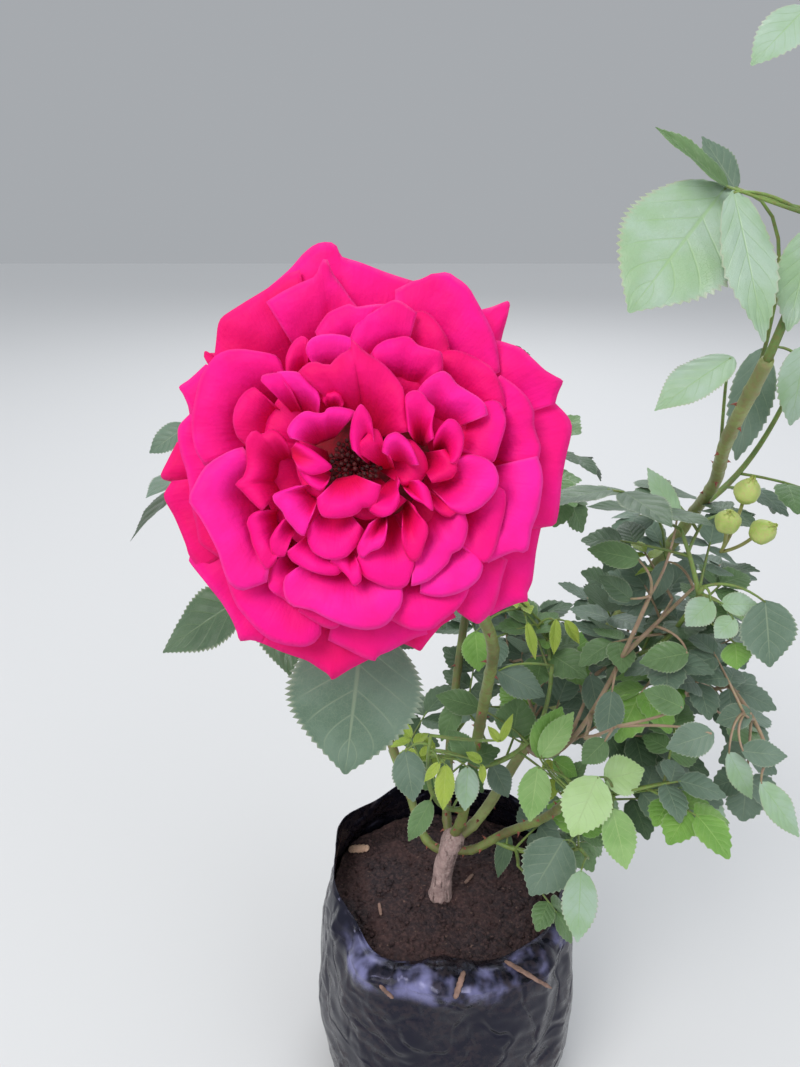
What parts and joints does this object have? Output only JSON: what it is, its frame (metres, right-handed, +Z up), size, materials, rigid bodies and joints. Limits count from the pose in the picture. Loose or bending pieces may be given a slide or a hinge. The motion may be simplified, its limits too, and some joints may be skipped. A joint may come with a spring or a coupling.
{
  "type": "potted rose bush",
  "caption": "Potted rose bush with one wide open bloom, arching green canes with serrated leaves and buds, in a soft planting bag of soil.",
  "frame": {"origin": "centre of the bag's flat underside", "axes": "+Z up, -Y towards the viewer of the picture, the side that the bloom faces, +X to that viewer's right"},
  "size_m": [0.3581, 0.4012, 0.6531],
  "materials": {
    "film": "thin creased black film, glossy",
    "soil": "loose dark damp potting soil",
    "bark": "rough grey-brown bark",
    "cane": "smooth olive green, slightly waxy",
    "leaf": "satin green leaves",
    "petal": "velvety magenta pink petals"
  },
  "bodies": {
    "root": {"bag": "film", "soil": "soil", "trunk": "bark", "bloom_cane_lower": "cane", "bloom_cane_upper": "cane", "tall_cane_lower": "cane", "tall_cane_upper": "cane", "right_cane": "cane", "back_cane": "cane", "left_cane": "cane", "bloom_petals": "petal", "bloom_calyx": "leaf", "leaf_under_bloom": "leaf", "leaf_left_lower": "leaf", "leaf_left_upper": "leaf", "leaf_right_of_bloom": "leaf", "leaf_top_front": "leaf", "leaf_top_middle": "leaf", "foliage_top": "leaf", "foliage_right_upper": "leaf", "bud_cluster": "leaf", "foliage_far_right": "leaf", "foliage_right_middle": "leaf", "foliage_middle": "leaf", "foliage_right_front": "leaf", "foliage_right_low": "leaf", "foliage_low_centre": "leaf", "foliage_back": "leaf", "foliage_back_low": "leaf", "foliage_left": "leaf", "foliage_left_low": "leaf"}
  },
  "joints": []
}
